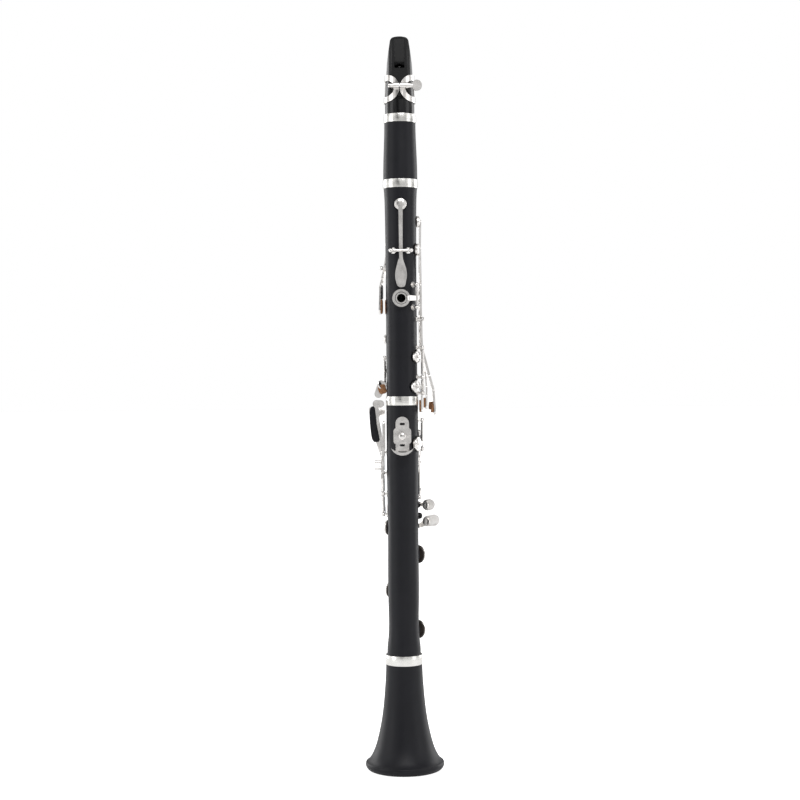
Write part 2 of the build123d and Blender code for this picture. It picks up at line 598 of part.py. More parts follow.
with BuildPart() as side_key_1:
    SIDE.tube(344.2, 353.8)
    plate([SIDE.point(SIDE_1_PAD[1]), at(67, 18.1, SIDE_1_PAD[1]), at(55, 17.6, SIDE_1_PAD[1])],
          [1.6, 1.7, 1.8])
    cup(*SIDE_1_PAD[:3])
    plate([SIDE.point(350.5), at(88, 18.2, 347), at(92, 18.0, 338), at(92, 17.9, 327)], [1.5, 1.5, 2.2, 3.0], 1.3)
    SIDE.bore(344.2, 353.8)
export(side_key_1, "side_key_1")

with BuildPart() as upper_ring_key:
    UPPER_RINGS.tube(348.4, 439.1)
    for name in ("first", "second"):
        ring_z = UPPER_HOLES[name]
        finger_ring(180, ring_z)
        plate([UPPER_RINGS.point(ring_z), at(158, 18.4, ring_z)], [2.0, 1.7])
    plate([UPPER_RINGS.point(UPPER_RING_PAD[1]), at(163, 19.5, UPPER_RING_PAD[1]),
           at(184, 18.6, UPPER_RING_PAD[1])], [1.7, 1.7, 1.9])
    cup(*UPPER_RING_PAD[:3], SEAT_R + RING_PAD_LIFT)
    plate([UPPER_RINGS.point(353), at(160, 18.9, 350.5), at(161, 18.9, 331)], [1.6, 1.7, 2.3])
    UPPER_RINGS.bore(348.4, 439.1)
export(upper_ring_key, "upper_ring_key")

with BuildPart() as upper_sliver_key:
    UPPER_SLIVER.tube(384.9, 397.1)
    plate([UPPER_SLIVER.point(391), at(229, 18.0, 391)], [1.7, 1.8])
    plate([at(229, 18.0, 391), at(240, 17.9, 391)], [1.8, 1.8])
    cup(*UPPER_SLIVER_PAD[:3])
    plate([UPPER_SLIVER.point(390.5), at(205, 17.9, 390.5), at(192, 17.8, 389)], [1.6, 1.9, 2.4])
    UPPER_SLIVER.bore(384.9, 397.1)
export(upper_sliver_key, "upper_sliver_key")

with BuildPart() as c_sharp_key:
    C_SHARP.tube(345.9, 371.6)
    plate([C_SHARP.point(362), at(230, 18.0, 362), at(218, 17.9, 362)], [1.7, 1.8, 1.9])
    cup(*C_SHARP_PAD[:3])
    plate([C_SHARP.point(350.5), Vector(-18.5, 4.2, 349), Vector(-21.6, 3.6, 341)], [1.7, 4.4, 3.9], 1.5,
          Vector(0, 1, 0))
    C_SHARP.bore(345.9, 371.6)
export(c_sharp_key, "c_sharp_key")


# ---- keys of the lower joint ----
with BuildPart() as lower_ring_key:
    LOWER_RINGS.tube(248.4, 303.6)
    for ring_z in LOWER_HOLES.values():
        finger_ring(180, ring_z)
        plate([LOWER_RINGS.point(min(ring_z, 301.5)), at(142, 18.9, ring_z), at(158, 18.2, ring_z)],
              [1.9, 1.8, 1.7])
    plate([LOWER_RINGS.point(290.5), at(160, 19.8, 290.5), at(184, 18.6, 290.5)], [1.6, 1.6, 1.9])
    cup(*LOWER_RING_PAD[:3], SEAT_R + RING_PAD_LIFT)
    plate([at(158, 18.0, 306), at(160, 16.6, 314), at(161, 16.5, 336)], [1.8, 2.0, 2.4], 1.3)
    LOWER_RINGS.bore(248.4, 303.6)
export(lower_ring_key, "lower_ring_key")

with BuildPart() as lower_sliver_key:
    LOWER_SLIVER.tube(294.4, 314.6)
    plate([LOWER_SLIVER.point(297), at(78, 18.4, 296.5), at(62, 17.6, 295.7)], [1.7, 1.9, 2.0])
    cup(*LOWER_SLIVER_PAD[:3])
    plate([LOWER_SLIVER.point(298.5), at(107, 17.2, 291), at(116, 16.6, 277), at(128, 16.4, 268.5),
           at(143, 17.2, 265)], [1.4, 1.5, 1.5, 1.7, 2.3], 1.2)
    LOWER_SLIVER.bore(294.4, 314.6)
export(lower_sliver_key, "lower_sliver_key")

with BuildPart() as a_flat_key:
    LINE_A_FLAT.tube(214.1, 242.9)
    plate([LINE_A_FLAT.point(219), at(230, 18.1, 219), at(243, 17.8, 219)], [1.8, 1.9, 2.0])
    cup(*A_FLAT_PAD[:3])
    plate([LINE_A_FLAT.point(235.5), at(213, 22.3, 235.5), at(197, 23.8, 236), at(177, 24.8, 237),
           at(157, 25.3, 238), at(137, 25.6, 239)], [1.7, 1.7, 1.7, 1.7, 1.8, 2.0])
    plate([at(137, 25.6, 239), Vector(21.8, 9.6, 239)], [2.0, 3.4])
    plate([Vector(22.8, 9.2, 239), Vector(24.2, 8.8, 239.2)], [5.1, 5.1], PLATE_T, Vector(0.1, 1, 0))
    LINE_A_FLAT.bore(214.1, 242.9)
export(a_flat_key, "a_flat_key")

with BuildPart() as low_f_sharp_key:
    LINE_F_SHARP.tube(157.1, 240.6)
    plate([LINE_F_SHARP.point(161.5), at(213, 19.0, 161.5), at(229, 17.4, 161.5)], [1.8, 1.9, 2.0])
    cup(*F_SHARP_PAD[:3])
    plate([LINE_F_SHARP.point(238.6), at(178, 18.4, 239), at(160, 19.0, 239.5), at(146, 19.7, 239.5),
           at(134, 19.8, 239)], [1.5, 1.6, 1.8, 3.2, 3.2])
    LINE_F_SHARP.bore(157.1, 240.6)
export(low_f_sharp_key, "low_f_sharp_key")

with BuildPart() as low_f_closed:
    LINE_F.tube(186.1, 230.9)
    plate([LINE_F.point(194), at(146, 19.6, 194), at(124, 17.4, 194)], [1.9, 2.0, 2.1])
    cup(*F_PAD[:3])
    plate([LINE_F.point(226.5), at(146, 19.6, 227.5), at(133, 20.4, 228.6)], [1.8, 3.0, 3.2])
    LINE_F.bore(186.1, 230.9)
with BuildPart() as low_f_key:
    add(low_f_closed.part.rotate(LINE_F.line(), OPEN_ANGLE))
export(low_f_key, "low_f_key")

with BuildPart() as low_e_closed:
    LINE_E.tube(119.1, 225.9)
    plate([LINE_E.point(125), at(150, 19.3, 125), at(130, 17.4, 125)], [1.9, 2.0, 2.1])
    cup(*E_PAD[:3])
    plate([LINE_E.point(217.5), at(173, 22.4, 217.5), at(157, 23.0, 217.5), at(138, 23.2, 219)],
          [1.7, 1.7, 1.7, 1.9])
    plate([at(138, 23.2, 219), Vector(20.6, 7.8, 223.4)], [1.9, 3.4])
    plate([Vector(21.4, 7.2, 224), Vector(26.2, 4.9, 224.8)], [5.0, 5.3], PLATE_T, Vector(0.28, 0.96, 0))
    LINE_E.bore(119.1, 225.9)
with BuildPart() as low_e_key:
    add(low_e_closed.part.rotate(LINE_E.line(), OPEN_ANGLE))
export(low_e_key, "low_e_key")

LEVER_FACE = Vector(0, 1, 0)
with BuildPart() as left_e_lever:
    LEFT_LEVERS.tube(233.9, 247.6)
    plate([LEFT_LEVERS.point(244), Vector(-18.6, 8.1, 250), Vector(-18.6, 8.1, 285), Vector(-25.2, 7.2, 311),
           Vector(-26.6, 6.6, 326)], [1.4, 1.4, 1.6, 3.6, 4.3], 1.5, LEVER_FACE)
    LEFT_LEVERS.bore(233.9, 247.6)
export(left_e_lever, "left_e_lever")

with BuildPart() as left_f_sharp_lever:
    LEFT_LEVERS.tube(252.4, 266.6)
    plate([LEFT_LEVERS.point(264), Vector(-18.4, -0.9, 268), Vector(-17.4, -0.9, 290), Vector(-21.9, -0.4, 315),
           Vector(-23.2, 1.0, 331)], [1.4, 1.3, 1.3, 1.5, 2.0], 1.5, LEVER_FACE)
    plate([Vector(-23.2, 1.0, 332), Vector(-19.8, 1.6, 332)], [3.6, 3.4], 1.5, LEVER_FACE)
    LEFT_LEVERS.bore(252.4, 266.6)
export(left_f_sharp_lever, "left_f_sharp_lever")

LEVER_PEG_R = 1.5
with BuildPart() as left_f_lever:
    LEFT_LEVERS.tube(271.4, 285.6)
    plate([LEFT_LEVERS.point(283), Vector(-17.2, 5.5, 286), Vector(-16.8, 5.5, 291), Vector(-16.9, 5.5, 315),
           Vector(-19.5, 11.0, 327)], [1.4, 1.3, 1.3, 1.5, 4.1], 1.5, LEVER_FACE)
    for z in (273.4, 279.2):
        rod(Vector(-18.2, 2.4, z), Vector(-25.5, 1.6, z), LEVER_PEG_R)
    LEFT_LEVERS.bore(271.4, 285.6)
export(left_f_lever, "left_f_lever")

# ---- pads ----
CLOSED_PADS = {
    "register_pad": REGISTER_PAD, "a_pad": THROAT_A_PAD, "g_sharp_pad": THROAT_G_PAD,
    "side_4_pad": SIDE_4_PAD, "side_3_pad": SIDE_3_PAD, "side_2_pad": SIDE_2_PAD, "side_1_pad": SIDE_1_PAD,
    "upper_sliver_pad": UPPER_SLIVER_PAD, "c_sharp_pad": C_SHARP_PAD,
    "lower_sliver_pad": LOWER_SLIVER_PAD, "a_flat_pad": A_FLAT_PAD,
    "low_f_sharp_pad": F_SHARP_PAD,
}
for pad_name, hole in CLOSED_PADS.items():
    with BuildPart() as key_pad:
        pad(*hole[:3])
    export(key_pad, pad_name)

for pad_name, hole in (("upper_ring_pad", UPPER_RING_PAD), ("lower_ring_pad", LOWER_RING_PAD)):
    with BuildPart() as key_pad:
        pad(*hole[:3], SEAT_R + RING_PAD_LIFT)
    export(key_pad, pad_name)

for pad_name, hole, hinge in (("low_f_pad", F_PAD, LINE_F), ("low_e_pad", E_PAD, LINE_E)):
    with BuildPart() as seated_pad:
        pad(*hole[:3])
    with BuildPart() as key_pad:
        add(seated_pad.part.rotate(hinge.line(), OPEN_ANGLE))
    export(key_pad, pad_name)
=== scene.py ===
from math import cos, pi, radians, sin

import bmesh
import bpy
from mathutils import Matrix, Vector


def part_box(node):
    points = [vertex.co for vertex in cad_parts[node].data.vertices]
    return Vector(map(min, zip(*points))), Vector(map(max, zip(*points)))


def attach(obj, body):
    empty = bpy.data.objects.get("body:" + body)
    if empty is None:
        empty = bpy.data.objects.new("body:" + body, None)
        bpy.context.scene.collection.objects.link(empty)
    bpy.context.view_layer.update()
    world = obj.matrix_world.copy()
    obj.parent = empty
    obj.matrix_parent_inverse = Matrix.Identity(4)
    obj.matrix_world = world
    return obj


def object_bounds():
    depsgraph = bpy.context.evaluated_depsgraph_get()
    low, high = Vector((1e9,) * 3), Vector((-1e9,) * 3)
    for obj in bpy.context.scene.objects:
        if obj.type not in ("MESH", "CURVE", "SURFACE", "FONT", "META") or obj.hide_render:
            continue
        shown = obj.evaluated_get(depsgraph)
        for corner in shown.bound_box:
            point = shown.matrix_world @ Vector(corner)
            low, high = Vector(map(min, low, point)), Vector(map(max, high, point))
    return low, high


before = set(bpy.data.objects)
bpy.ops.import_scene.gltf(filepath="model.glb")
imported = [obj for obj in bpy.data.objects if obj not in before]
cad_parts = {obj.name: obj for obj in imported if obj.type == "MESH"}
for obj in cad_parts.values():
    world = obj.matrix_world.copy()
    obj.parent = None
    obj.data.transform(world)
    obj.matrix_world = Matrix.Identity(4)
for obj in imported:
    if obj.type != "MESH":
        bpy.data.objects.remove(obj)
cad_low, cad_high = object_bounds()

MM = 0.001
TIP_Z = cad_high[2]
UP = Vector((0, 0, 1))
TO_BACK = Vector((0, 1, 0))
TO_PLAYER = Vector((0, -1, 0))

# ---------------------------------------------------------------- materials


class Shader:
    """Builds one node material whose textures lie in the piece's own coordinates."""

    def __init__(self, name, color, roughness, metallic=0.0, specular=0.5):
        self.material = bpy.data.materials.new(name)
        self.material.use_nodes = True
        self.tree = self.material.node_tree
        self.principled = self.tree.nodes["Principled BSDF"]
        self.principled.inputs["Base Color"].default_value = (*color, 1)
        self.principled.inputs["Roughness"].default_value = roughness
        self.principled.inputs["Metallic"].default_value = metallic
        self.principled.inputs["Specular IOR Level"].default_value = specular
        self.place = self.tree.nodes.new("ShaderNodeTexCoord").outputs["Object"]
        self.height = None

    def node(self, kind, **values):
        made = self.tree.nodes.new(kind)
        for key, value in values.items():
            if key in made.inputs:
                made.inputs[key].default_value = value
            else:
                setattr(made, key, value)
        return made

    def link(self, start, end):
        self.tree.links.new(start, end)

    def stretched(self, scale):
        mapping = self.node("ShaderNodeMapping")
        mapping.inputs["Scale"].default_value = scale
        self.link(self.place, mapping.inputs["Vector"])
        return mapping.outputs["Vector"]

    def noise(self, scale, detail=4.0, stretch=None):
        texture = self.node("ShaderNodeTexNoise", Scale=scale, Detail=detail)
        self.link(self.stretched(stretch) if stretch else self.place, texture.inputs["Vector"])
        return texture.outputs["Fac"]

    def ramp(self, source, stops):
        ramp = self.node("ShaderNodeValToRGB")
        elements = ramp.color_ramp.elements
        for index, (position, color) in enumerate(stops):
            stop = elements[index] if index < 2 else elements.new(position)
            stop.position = position
            stop.color = (*color, 1)
        self.link(source, ramp.inputs["Fac"])
        return ramp.outputs["Color"]

    def spread(self, source, low, high):
        spread = self.node("ShaderNodeMapRange")
        spread.inputs["To Min"].default_value = low
        spread.inputs["To Max"].default_value = high
        self.link(source, spread.inputs["Value"])
        return spread.outputs["Result"]

    def bump(self, source, strength, distance):
        bump = self.node("ShaderNodeBump")
        bump.inputs["Strength"].default_value = strength
        bump.inputs["Distance"].default_value = distance
        self.link(source, bump.inputs["Height"])
        if self.height:
            self.link(self.height, bump.inputs["Normal"])
        self.height = bump.outputs["Normal"]
        self.link(self.height, self.principled.inputs["Normal"])

    def color_from(self, source, stops):
        self.link(self.ramp(source, stops), self.principled.inputs["Base Color"])

    def roughness_from(self, source, low, high):
        self.link(self.spread(source, low, high), self.principled.inputs["Roughness"])


def body_black():
    """Black resin joint: turned, then brushed to a fine satin."""
    s = Shader("satin_black", (0.006, 0.006, 0.008), 0.42, specular=0.26)
    s.color_from(s.noise(45, 5), [(0.3, (0.0040, 0.0042, 0.0066)), (0.75, (0.0064, 0.0066, 0.0098))])
    s.roughness_from(s.noise(260, 3, (1, 1, 0.15)), 0.36, 0.50)
    s.bump(s.noise(900, 2, (1, 1, 4)), 0.10, 0.00012)
    s.bump(s.noise(2600, 2), 0.08, 0.00006)
    return s.material


def mouthpiece_black():
    """Polished moulded resin, a little duller where lips and fingers rub it."""
    s = Shader("polished_black", (0.004, 0.004, 0.0045), 0.16, specular=0.4)
    s.color_from(s.noise(60, 3), [(0.3, (0.003, 0.003, 0.0034)), (0.8, (0.005, 0.005, 0.0055))])
    s.roughness_from(s.noise(120, 4), 0.12, 0.26)
    s.bump(s.noise(420, 2), 0.05, 0.00008)
    return s.material


def nickel():
    """Bright nickel plating with faint polishing lines and slightly clouded patches."""
    s = Shader("nickel_plate", (0.80, 0.79, 0.77), 0.20, 1.0)
    s.color_from(s.noise(140, 4), [(0.3, (0.74, 0.715, 0.69)), (0.7, (0.88, 0.86, 0.84))])
    s.roughness_from(s.noise(520, 4), 0.13, 0.30)
    s.bump(s.noise(1500, 2, (1, 1, 0.3)), 0.06, 0.00005)
    s.bump(s.noise(110, 1), 0.55, 0.0006)
    return s.material


def ring_nickel():
    """Turned rings: fine lines run around them."""
    s = Shader("ring_nickel", (0.80, 0.79, 0.76), 0.24, 1.0)
    s.color_from(s.noise(90, 4), [(0.3, (0.73, 0.72, 0.69)), (0.7, (0.88, 0.87, 0.84))])
    s.roughness_from(s.noise(240, 3, (0.2, 0.2, 5)), 0.16, 0.34)
    s.bump(s.noise(800, 2, (0.1, 0.1, 6)), 0.12, 0.00005)
    return s.material


def steel():
    s = Shader("turned_steel", (0.55, 0.55, 0.56), 0.28, 1.0)
    s.color_from(s.noise(200, 3), [(0.3, (0.48, 0.48, 0.49)), (0.7, (0.62, 0.62, 0.63))])
    s.roughness_from(s.noise(900, 3, (1, 1, 0.1)), 0.22, 0.38)
    s.bump(s.noise(1800, 2), 0.06, 0.00004)
    return s.material


def cork():
    """Natural cork: warm brown grain with darker pits."""
    s = Shader("natural_cork", (0.30, 0.14, 0.06), 0.85)
    pits = s.node("ShaderNodeTexVoronoi", Scale=950.0)
    s.link(s.place, pits.inputs["Vector"])
    s.color_from(s.noise(700, 6), [(0.25, (0.10, 0.042, 0.018)), (0.5, (0.25, 0.115, 0.048)),
                                   (0.8, (0.38, 0.20, 0.095))])
    s.bump(pits.outputs["Distance"], 0.5, 0.0002)
    s.bump(s.noise(1500, 3), 0.4, 0.0001)
    return s.material


def pad_skin():
    """Thin skin over felt, creased near the rim."""
    s = Shader("pad_skin", (0.05, 0.04, 0.035), 0.62)
    s.color_from(s.noise(600, 4), [(0.3, (0.028, 0.024, 0.022)), (0.8, (0.085, 0.068, 0.055))])
    s.roughness_from(s.noise(900, 3), 0.5, 0.75)
    s.bump(s.noise(1200, 4), 0.35, 0.0001)
    return s.material


def blued_steel():
    s = Shader("blued_spring", (0.07, 0.09, 0.16), 0.3, 1.0)
    s.color_from(s.noise(400, 3), [(0.3, (0.045, 0.055, 0.10)), (0.7, (0.11, 0.13, 0.20))])
    s.roughness_from(s.noise(800, 2), 0.22, 0.4)
    return s.material


def floor_white():
    s = Shader("pale_floor", (0.93, 0.93, 0.93), 0.9, specular=0.1)
    s.color_from(s.noise(3, 2), [(0.3, (0.925, 0.925, 0.925)), (0.7, (0.94, 0.94, 0.94))])
    s.principled.inputs["Emission Color"].default_value = (1, 1, 1, 1)
    path = s.node("ShaderNodeLightPath")
    glow = s.spread(path.outputs["Is Camera Ray"], 0.12, 0.86)
    s.link(glow, s.principled.inputs["Emission Strength"])
    return s.material


BLACK = body_black()
MOUTH = mouthpiece_black()
NICKEL = nickel()
RINGS = ring_nickel()
STEEL = steel()
CORK = cork()
SKIN = pad_skin()
SPRING = blued_steel()

BLACK_NODES = {"bell", "lower_joint", "upper_joint", "barrel"}
RING_NODES = {"bell_ring", "barrel_rings", "lower_joint_ring"}


def finish_of(node):
    if node in BLACK_NODES:
        return BLACK
    if node in RING_NODES:
        return RINGS
    if node == "mouthpiece":
        return MOUTH
    if "cork" in node:
        return CORK
    if node.endswith("_pad"):
        return SKIN
    return STEEL if node.endswith("hinge_rods") else NICKEL


for node_name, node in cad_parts.items():
    for material_slot in node.material_slots:
        material_slot.material = finish_of(node_name)

# ---------------------------------------------------------------- small pieces


def at(phi, r, z):
    """A place in metres: phi in degrees from the thumb side, r and z in millimetres."""
    return Vector((r * sin(radians(phi)), -r * cos(radians(phi)), z)) * MM


def outward(phi):
    """The direction away from the bore at phi."""
    return Vector((sin(radians(phi)), -cos(radians(phi)), 0))


def around(phi):
    """The direction around the bore at phi."""
    return Vector((cos(radians(phi)), sin(radians(phi)), 0))


def turned(axis):
    """A rotation that takes +Z to an axis."""
    return UP.rotation_difference(axis).to_matrix().to_4x4()


def piece(name, mesh, material, body):
    """Puts a mesh in the scene with its material, on the body that it moves with."""
    made = bpy.data.objects.new(name, mesh)
    bpy.context.scene.collection.objects.link(made)
    mesh.materials.append(material)
    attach(made, body)
    return made


def smooth(mesh):
    for polygon in mesh.polygons:
        polygon.use_smooth = True


def lathe(profile, segments=28):
    """A closed turned mesh about +Z from (radius, height) points whose ends lie on the axis."""
    bm = bmesh.new()
    rings = []
    for radius, height in profile:
        if radius == 0:
            rings.append([bm.verts.new((0, 0, height))])
            continue
        angles = [2 * pi * step / segments for step in range(segments)]
        rings.append([bm.verts.new((radius * cos(a), radius * sin(a), height)) for a in angles])
    for low, high in zip(rings, rings[1:]):
        for step in range(segments):
            after = (step + 1) % segments
            corners = [low[step % len(low)], low[after % len(low)], high[after % len(high)],
                       high[step % len(high)]]
            unique = list(dict.fromkeys(corners))
            bm.faces.new(unique)
    bmesh.ops.recalc_face_normals(bm, faces=bm.faces)
    return bm


def as_mesh(bm, name, move):
    """Ends a bmesh: moved to its place, smooth shaded, and freed."""
    mesh = bpy.data.meshes.new(name)
    bm.transform(move)
    bm.to_mesh(mesh)
    bm.free()
    smooth(mesh)
    return mesh


SCREW_R = 0.78 * MM
SCREW_DISC = 0.25  # the rest are shares of the screw's radius
SCREW_FOOT = 0.2
SCREW_LIFT = 0.5
SCREW_HALF_R = 0.97
SCREW_TAPER = 0.9
SLOT_SHIFT = 0.02
SLOT_ANGLE = 12
ARC_STEPS = 10


def screw_head(name, centre, axis, body):
    """The slotted end of a hinge rod: two raised halves on a disc."""
    disc = SCREW_R * SCREW_DISC
    bm = lathe([(0, 0), (SCREW_R, 0), (SCREW_R, disc), (0, disc)], 24)
    reach = SCREW_R * SCREW_HALF_R
    sweep = 180 - 2 * SLOT_ANGLE
    arc = [radians(SLOT_ANGLE + sweep * step / ARC_STEPS) for step in range(ARC_STEPS + 1)]
    foot = Vector((0, 0, SCREW_R * SCREW_FOOT))
    for side in (-1, 1):
        outline = [Vector((reach * cos(a), side * reach * sin(a), 0)) for a in arc]
        crown = Vector((0, side * SCREW_R * SLOT_SHIFT, SCREW_R * SCREW_LIFT))
        low = [bm.verts.new(point + foot) for point in outline]
        high = [bm.verts.new(point * SCREW_TAPER + crown) for point in outline]
        bm.faces.new(low)
        bm.faces.new(high)
        for step in range(len(low)):
            after = (step + 1) % len(low)
            bm.faces.new((low[step], low[after], high[after], high[step]))
    bmesh.ops.recalc_face_normals(bm, faces=bm.faces)
    mesh = as_mesh(bm, name, Matrix.Translation(centre) @ turned(axis))
    for polygon in mesh.polygons:
        polygon.use_smooth = False
    return piece(name, mesh, STEEL, body)


# share of the outline and of the thickness, from the glued face to the free face
SLAB_LEVELS = ((0.90, 0.0), (1.0, 0.12), (1.0, 0.88), (0.92, 1.0))
SLAB_CORNERS = 0.6
SLAB_WOBBLE = 0.03
SLAB_SEGMENTS = 28


def squared(share):
    """A cosine or sine pushed outwards, so that a circle turns into a rounded rectangle."""
    return abs(share) ** SLAB_CORNERS * (1 if share >= 0 else -1)


def slab(name, centre, along, across, size, thick, body, material=CORK):
    """A cork, a backing or a black sheet of painted shade glued to a key: a rounded slab with cut edges,
    slightly uneven.
    """
    along = along.normalized()
    across = (across - along * across.dot(along)).normalized()
    normal = along.cross(across)
    half_long, half_wide = size[0] / 2 * MM, size[1] / 2 * MM
    bm = bmesh.new()
    rings = []
    for scale, level in SLAB_LEVELS:
        ring = []
        for step in range(SLAB_SEGMENTS):
            a = 2 * pi * step / SLAB_SEGMENTS
            uneven = scale * (1 + SLAB_WOBBLE * sin(3 * a + len(name)))
            point = centre + along * (squared(cos(a)) * half_long * uneven)
            point += across * (squared(sin(a)) * half_wide * uneven)
            point += normal * ((level - 0.5) * thick * MM)
            ring.append(bm.verts.new(point))
        rings.append(ring)
    for low, high in zip(rings, rings[1:]):
        for step in range(SLAB_SEGMENTS):
            after = (step + 1) % SLAB_SEGMENTS
            bm.faces.new((low[step], low[after], high[after], high[step]))
    bm.faces.new(rings[0])
    bm.faces.new(rings[-1])
    bmesh.ops.recalc_face_normals(bm, faces=bm.faces)
    return piece(name, as_mesh(bm, name, Matrix.Identity(4)), material, body)


SPRING_THICK = 0.32 * MM
SPRING_THIN = 0.16 * MM
SPRING_BEND = 0.5 * MM


def needle_spring(name, start, end, body):
    """A tapered needle spring: thick where a post holds it, thin where it bears on the key."""
    along = end - start
    length = along.length
    middle, tip = (SPRING_THICK * 0.9, length * 0.4), (SPRING_THIN, length * 0.97)
    bm = lathe([(0, 0), (SPRING_THICK, 0), middle, tip, (0, length)], 10)
    for vertex in bm.verts:
        share = vertex.co.z / length
        vertex.co.x += SPRING_BEND * share * share
    mesh = as_mesh(bm, name, Matrix.Translation(start) @ turned(along.normalized()))
    return piece(name, mesh, SPRING, body)


# hinge rods along the bore: name, body, phi, radius, heights of the posts, in degrees and millimetres
LONG_HINGES = (
    ("thumb", "upper_joint", 47, 19.3, (419.4, 440.0)),
    ("side", "upper_joint", 78, 19.3, (341.8, 356.2, 383.0)),
    ("upper_rings", "upper_joint", 145, 17.7, (346.0, 441.5)),
    ("upper_sliver", "upper_joint", 217, 17.7, (382.5, 399.5)),
    ("c_sharp", "upper_joint", 243, 17.7, (343.5, 374.0)),
    ("lower_rings", "lower_joint", 125, 18.6, (246.0, 306.0)),
    ("lower_sliver", "lower_joint", 93, 18.2, (290.8, 317.0)),
    ("low_f", "lower_joint", 157, 17.7, (183.7, 233.3)),
    ("low_e", "lower_joint", 177, 17.7, (116.7, 228.3)),
    ("low_f_sharp", "lower_joint", 197, 17.7, (154.7, 243.0)),
    ("a_flat", "lower_joint", 217, 17.7, (211.7, 245.3)),
    ("left_levers", "lower_joint", 262, 18.0, (231.5, 250.0, 269.0, 288.0)),
)
ROD_OVERHANG = 1.62  # from the middle of an end post to the screw head
SPRING_SEAT_DROP = 2.0  # how far under the rod the spring leaves its post
SPRING_TIP_DROP = 1.9
SPRING_SHARE = 0.55  # of the gap between two posts
SPRING_REACH = 16
for name, body, phi, radius, heights in LONG_HINGES:
    screw_head(name + "_rod_slot_top", at(phi, radius, heights[-1] + ROD_OVERHANG), UP, body)
    screw_head(name + "_rod_slot_low", at(phi, radius, heights[0] - ROD_OVERHANG), -UP, body)
    low, high = heights[0], heights[1]
    reach = min(SPRING_SHARE * (high - low), SPRING_REACH)
    needle_spring(name + "_needle_spring", at(phi, radius - SPRING_SEAT_DROP, low),
                  at(phi, radius - SPRING_TIP_DROP, low + reach), body)

# hinge rods across the bore: name, phi, radius, height, half the distance between the posts
CROSS_HINGES = (
    ("register", 0, 17.4, 470.6, 9.0),
    ("throat_a", 186, 17.7, 466.0, 6.0),
    ("throat_g", 236, 17.7, 456.0, 6.0),
    ("trills", 103, 17.9, 409.0, 7.0),
)
for name, phi, radius, height, half in CROSS_HINGES:
    side = around(phi)
    for end, sign in (("a", -1), ("b", 1)):
        centre = at(phi, radius, height) + side * sign * (half + ROD_OVERHANG) * MM
        screw_head(name + "_rod_slot_" + end, centre, side * sign, "upper_joint")

# name, body, centre, long side, short side, (length, width), thickness
CORKS = (
    ("g_sharp_touch_cork", "g_sharp_key", at(260.5, 18.0, 421), UP, around(260.5), (13, 6.8), 1.2),
    ("g_sharp_body_cork", "upper_joint", at(262, 14.2, 420.5), UP, around(262), (13, 6.4), 0.8),
    ("c_sharp_touch_cork", "c_sharp_key", at(262.7, 18.1, 345.5), Vector((-0.25, 0, 1)),
     Vector((1, 0, 0.25)), (8.6, 7.2), 2.0),
    ("side_1_touch_cork", "side_key_1", at(92, 16.4, 330), UP, TO_BACK, (11, 5.0), 1.6),
    ("side_2_touch_cork", "side_key_2", at(93.5, 20.5, 333), UP, TO_BACK, (9, 5.4), 1.9),
    ("side_3_touch_cork", "side_key_3", at(98, 28.0, 327.5), Vector((0.1, 0, 1)), TO_BACK, (7.2, 6.6), 2.4),
    ("side_4_touch_cork", "side_key_4", at(114, 29.2, 330), Vector((0.1, 0.05, 1)),
     Vector((0.4, 0.9, 0)), (7.2, 6.6), 2.4),
    ("f_sharp_rod_cork", "lower_joint", at(240, 14.6, 236), UP, around(240), (11, 4.4), 1.6),
)
for name, body, centre, along, across, size, thick in CORKS:
    slab(name, centre, along, across, size, thick, body)
# black underside of the left-hand E touch
slab("left_e_touch_backing", Vector((-25.3, 5.65, 313)) * MM, Vector((-0.09, 0, 1)), Vector((1, 0, 0.09)),
     (33, 8.2), 0.9, "left_e_lever", BLACK)
# painted shade: a black sheet where the underside of the left-hand G sharp touch lies in shadow
slab("g_sharp_touch_backing", at(259, 17.75, 434), UP, around(259), (13, 6.0), 1.0, "g_sharp_key", BLACK)


LIP_R = 0.42 * MM
LIP_LEVEL = 14.9  # mouth of a closed cup, from the bore axis
LIP_STEPS = 48
LIP_PROFILE_STEPS = 12
KEY_LINE_R = 17.7
OPEN_DEG = 11.0  # how far the two open-standing keys are swung up


def lip(name, body, phi, z, radius, hinge_phi=None):
    """The rolled rim of a pad cup, at the mouth of the cup; hinge_phi is given for an open key."""
    angles = [2 * pi * k / LIP_PROFILE_STEPS for k in range(LIP_PROFILE_STEPS)]
    profile = [(radius + LIP_R * cos(a), LIP_R * sin(a)) for a in angles]
    bm = bmesh.new()
    grid = []
    for step in range(LIP_STEPS):
        turn = 2 * pi * step / LIP_STEPS
        grid.append([bm.verts.new((r * cos(turn), r * sin(turn), h)) for r, h in profile])
    for step in range(LIP_STEPS):
        this, after = grid[step], grid[(step + 1) % LIP_STEPS]
        for k in range(LIP_PROFILE_STEPS):
            m = (k + 1) % LIP_PROFILE_STEPS
            bm.faces.new((this[k], after[k], after[m], this[m]))
    bmesh.ops.recalc_face_normals(bm, faces=bm.faces)
    move = Matrix.Translation(at(phi, LIP_LEVEL, z)) @ turned(outward(phi))
    if hinge_phi is not None:
        hinge = at(hinge_phi, KEY_LINE_R, 0)
        swing = Matrix.Rotation(radians(OPEN_DEG), 4, "Z")
        move = Matrix.Translation(hinge) @ swing @ Matrix.Translation(-hinge) @ move
    return piece(name, as_mesh(bm, name, move), NICKEL, body)


lip("low_f_cup_lip", "low_f_key", 124, 194.0, 8.0 * MM, 157)
lip("low_e_cup_lip", "low_e_key", 130, 125.0, 8.35 * MM, 177)
lip("low_f_sharp_cup_lip", "low_f_sharp_key", 229, 161.5, 7.2 * MM)
lip("a_flat_cup_lip", "a_flat_key", 243, 219.0, 6.7 * MM)


DOME_STEPS = 8


